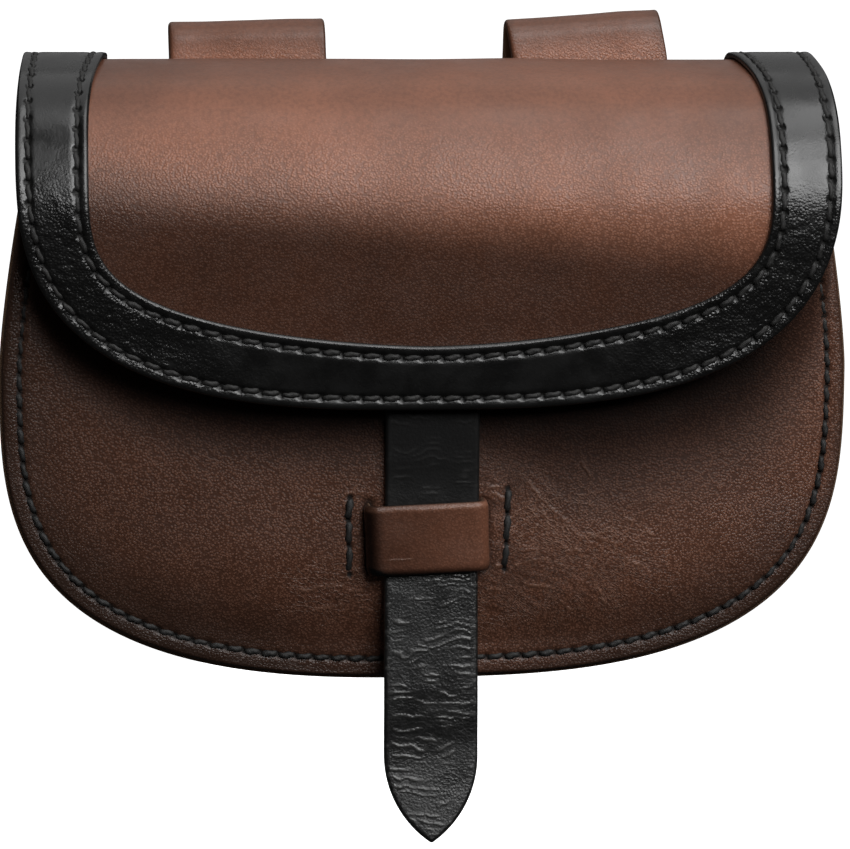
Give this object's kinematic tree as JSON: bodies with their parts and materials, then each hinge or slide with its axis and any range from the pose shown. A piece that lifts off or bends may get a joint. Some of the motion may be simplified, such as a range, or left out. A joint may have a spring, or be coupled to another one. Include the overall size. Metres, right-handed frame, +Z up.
{
  "type": "belt bag",
  "caption": "Hollow leather belt bag with a rounded flap, dark trim band, a closing strap tucked under a keeper, and folded belt loops on its back.",
  "frame": {"origin": "middle of the passage that the belt runs through, between the two loops", "axes": "+X along the belt, to the right seen from the front; -Y to the front, where the flap closes; +Z up"},
  "size_m": [0.2132, 0.0567, 0.2124],
  "materials": {
    "brown_leather": "dark brown, waxed, satin, with burnished dark edges",
    "black_leather": "black, waxed, satin, with a fine wrinkled grain"
  },
  "bodies": {
    "root": {"back_flap": "brown_leather", "flap_trim": "black_leather", "front_panel": "brown_leather", "gusset": "brown_leather", "closing_strap": "black_leather", "keeper": "brown_leather", "belt_loop_left": "brown_leather", "belt_loop_right": "brown_leather"}
  },
  "joints": []
}
